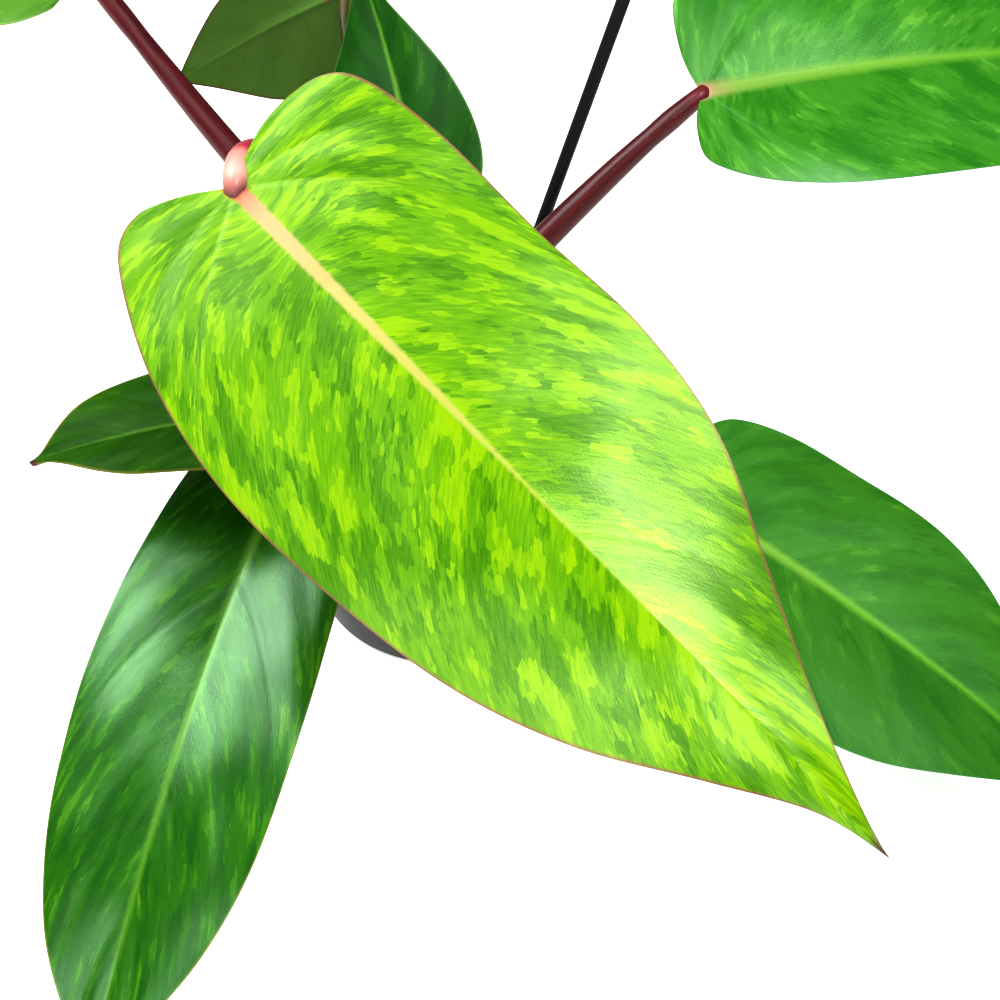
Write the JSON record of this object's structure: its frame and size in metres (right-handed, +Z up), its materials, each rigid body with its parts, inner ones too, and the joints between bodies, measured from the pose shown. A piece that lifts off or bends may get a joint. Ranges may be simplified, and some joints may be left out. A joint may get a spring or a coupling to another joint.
{
  "type": "potted philodendron",
  "caption": "Potted aroid house plant: mottled heart-shaped leaves on maroon stalks round a short stem, with a thin support stake, in a black nursery pot.",
  "frame": {"origin": "centre of the pot's flat underside", "axes": "+Z up, out of the pot; +Y away from the viewer of the front side, where the largest leaf hangs toward -Y"},
  "size_m": [0.4704, 0.3823, 0.2422],
  "materials": {
    "pot_plastic": "moulded black plastic, satin",
    "potting_mix": "damp peat and bark, dull",
    "stem": "green stem with brown rings, waxy",
    "shoot": "pink-red leaf sheath, waxy",
    "stake": "black plastic, satin",
    "stalk": "maroon leaf stalk, waxy satin",
    "leaf_1": "mottled green leaf, waxy gloss",
    "leaf_2": "mottled green leaf, waxy gloss",
    "leaf_3": "mottled green leaf, waxy gloss",
    "leaf_4": "mottled green leaf, waxy gloss",
    "leaf_5": "mottled green leaf, waxy gloss",
    "leaf_6": "mottled green leaf, waxy gloss",
    "leaf_7": "mottled green leaf, waxy gloss",
    "leaf_8": "mottled green leaf, waxy gloss"
  },
  "bodies": {
    "root": {"pot": "pot_plastic", "soil": "potting_mix", "stem": "stem", "shoot": "shoot", "stake": "stake", "stalk_1": "stalk", "leaf_1": "leaf_1", "stalk_2": "stalk", "leaf_2": "leaf_2", "stalk_3": "stalk", "leaf_3": "leaf_3", "stalk_4": "stalk", "leaf_4": "leaf_4", "stalk_5": "stalk", "leaf_5": "leaf_5", "stalk_6": "stalk", "leaf_6": "leaf_6", "stalk_7": "stalk", "leaf_7": "leaf_7", "stalk_8": "stalk", "leaf_8": "leaf_8"}
  },
  "joints": []
}
